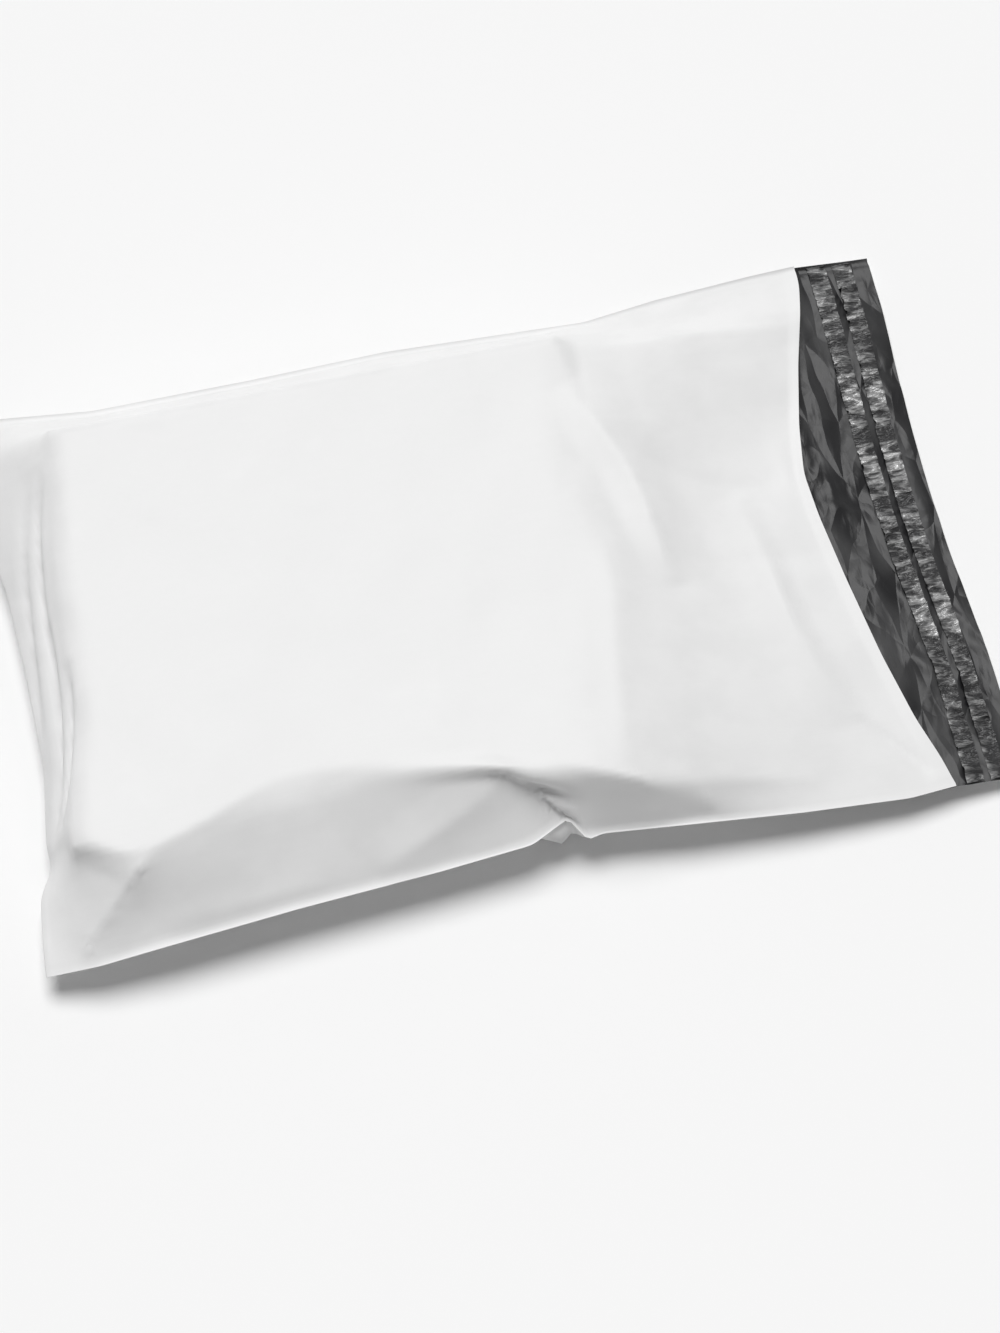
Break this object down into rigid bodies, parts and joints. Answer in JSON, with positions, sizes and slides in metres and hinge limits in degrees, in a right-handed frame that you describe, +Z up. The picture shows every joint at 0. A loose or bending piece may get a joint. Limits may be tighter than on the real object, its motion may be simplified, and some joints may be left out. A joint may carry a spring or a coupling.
{
  "type": "mailing bag",
  "caption": "Filled plastic mailing bag lying flat with a gaping mouth and an open sealing flap that carries covered glue lines.",
  "frame": {"origin": "centre of the bounding box in plan, on the surface that the bag lies on", "axes": "+X from the bottom fold to the open flap, +Y across the bag, +Z up out of the front panel"},
  "size_m": [0.382, 0.25, 0.036],
  "materials": {
    "film": "soft satin white outside, glossy black inside",
    "adhesive": "clear and glossy",
    "liner": "glossy clear film with puckers"
  },
  "bodies": {
    "root": {"mailer_film": "film", "adhesive_inner": "adhesive", "adhesive_outer": "adhesive", "release_liner_inner": "liner", "release_liner_outer": "liner"}
  },
  "joints": []
}
